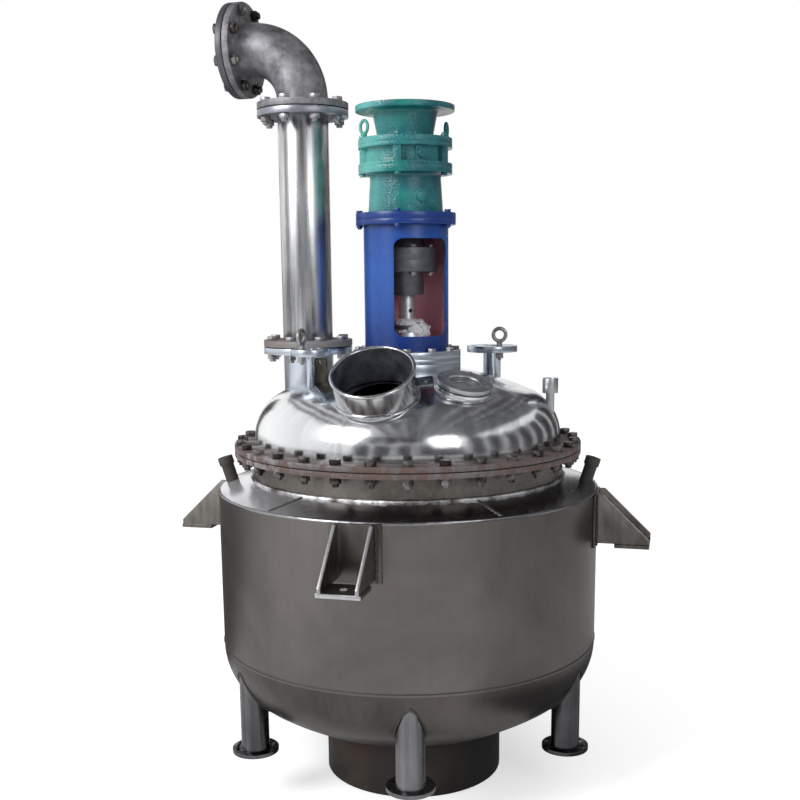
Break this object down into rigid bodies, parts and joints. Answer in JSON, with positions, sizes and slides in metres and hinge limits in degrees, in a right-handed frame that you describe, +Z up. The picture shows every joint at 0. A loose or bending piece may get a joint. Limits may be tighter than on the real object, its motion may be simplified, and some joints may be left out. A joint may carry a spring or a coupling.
{
  "type": "batch reactor",
  "caption": "Jacketed stirred batch reactor with a dished bolted lid, open manhole, sight glass, flanged vapour pipe, blue drive column and upright gear reducer.",
  "frame": {"origin": "on the vessel's axis, level with the skirt's lower edge", "axes": "+Z up along the vessel's axis, -Y towards the front with the manhole, +X to the right seen from the front"},
  "size_m": [1.5146, 1.5146, 2.4385],
  "materials": {
    "jacket_steel": "satin, streaked",
    "stub_steel": "brownish, dull",
    "vessel_steel": "satin",
    "skirt_steel": "rusty, matt",
    "leg_steel": "satin",
    "flange_primer": "red-brown primer and rust",
    "gasket": "matt",
    "bolt_steel": "bright zinc",
    "polished_steel": "polished",
    "bracket_steel": "dull",
    "sight_glass": "clear",
    "pipe_steel": "streaked",
    "elbow_steel": "mottled grey",
    "column_blue": "gloss enamel",
    "reducer_green": "hammered enamel",
    "dark_iron": "oiled",
    "shaft_steel": "turned",
    "wrap": "loose film"
  },
  "bodies": {
    "reactor": {"jacket_shell": "jacket_steel", "jacket_head": "jacket_steel", "jacket_cone": "jacket_steel", "side_lugs": "jacket_steel", "jacket_stub_left": "stub_steel", "jacket_stub_right": "stub_steel", "inner_vessel": "vessel_steel", "outlet_nozzle": "vessel_steel", "support_skirt": "skirt_steel", "leg_front": "leg_steel", "leg_front_right": "leg_steel", "leg_back_right": "leg_steel", "leg_back": "leg_steel", "leg_back_left": "leg_steel", "leg_front_left": "leg_steel", "vessel_flange": "flange_primer", "lid_flange": "flange_primer", "lid_gasket": "gasket", "sight_gasket": "gasket", "pipe_gaskets": "gasket", "flange_bolts": "bolt_steel", "pipe_bolts": "bolt_steel", "column_bolts": "bolt_steel", "sight_screws": "bolt_steel", "gland_studs": "bolt_steel", "reducer_bolts": "bolt_steel", "reducer_plugs": "bolt_steel", "nozzle_eye_bolts": "bolt_steel", "lid_dome": "polished_steel", "manhole_neck": "polished_steel", "sight_base": "polished_steel", "sight_cover": "polished_steel", "feed_nozzle": "polished_steel", "gauge_nozzle": "polished_steel", "probe_socket": "polished_steel", "lid_pad": "polished_steel", "seal_housing": "polished_steel", "column_foot": "polished_steel", "manhole_hinge": "bracket_steel", "manhole_latch": "bracket_steel", "sight_window": "sight_glass", "vapour_nozzle": "pipe_steel", "vapour_pipe": "pipe_steel", "outlet_flange": "pipe_steel", "vapour_elbow": "elbow_steel", "column": "column_blue", "adapter_flange": "column_blue", "reducer_base": "reducer_green", "reducer_body": "reducer_green", "reducer_cover": "reducer_green", "lifting_eyes": "reducer_green", "seal_gland": "dark_iron", "seal_wrap": "wrap"},
    "agitator": {"output_shaft": "shaft_steel", "coupling_upper": "dark_iron", "coupling_lower": "dark_iron", "coupling_bolts": "bolt_steel", "stirrer_shaft": "shaft_steel", "anchor": "shaft_steel"},
    "input": {"input_sleeve": "shaft_steel"}
  },
  "joints": [
    {"name": "agitator_spin", "type": "hinge", "parent": "reactor", "child": "agitator", "pos_m": [0, 0, 1.646], "axis": [0, 0, 1], "continuous": true},
    {"name": "input_spin", "type": "hinge", "parent": "reactor", "child": "input", "pos_m": [0, 0, 2.018], "axis": [0, 0, 1], "continuous": true}
  ],
  "couplings": [
    {"joint": "input_spin", "follows": "agitator_spin", "ratio": -17}
  ]
}
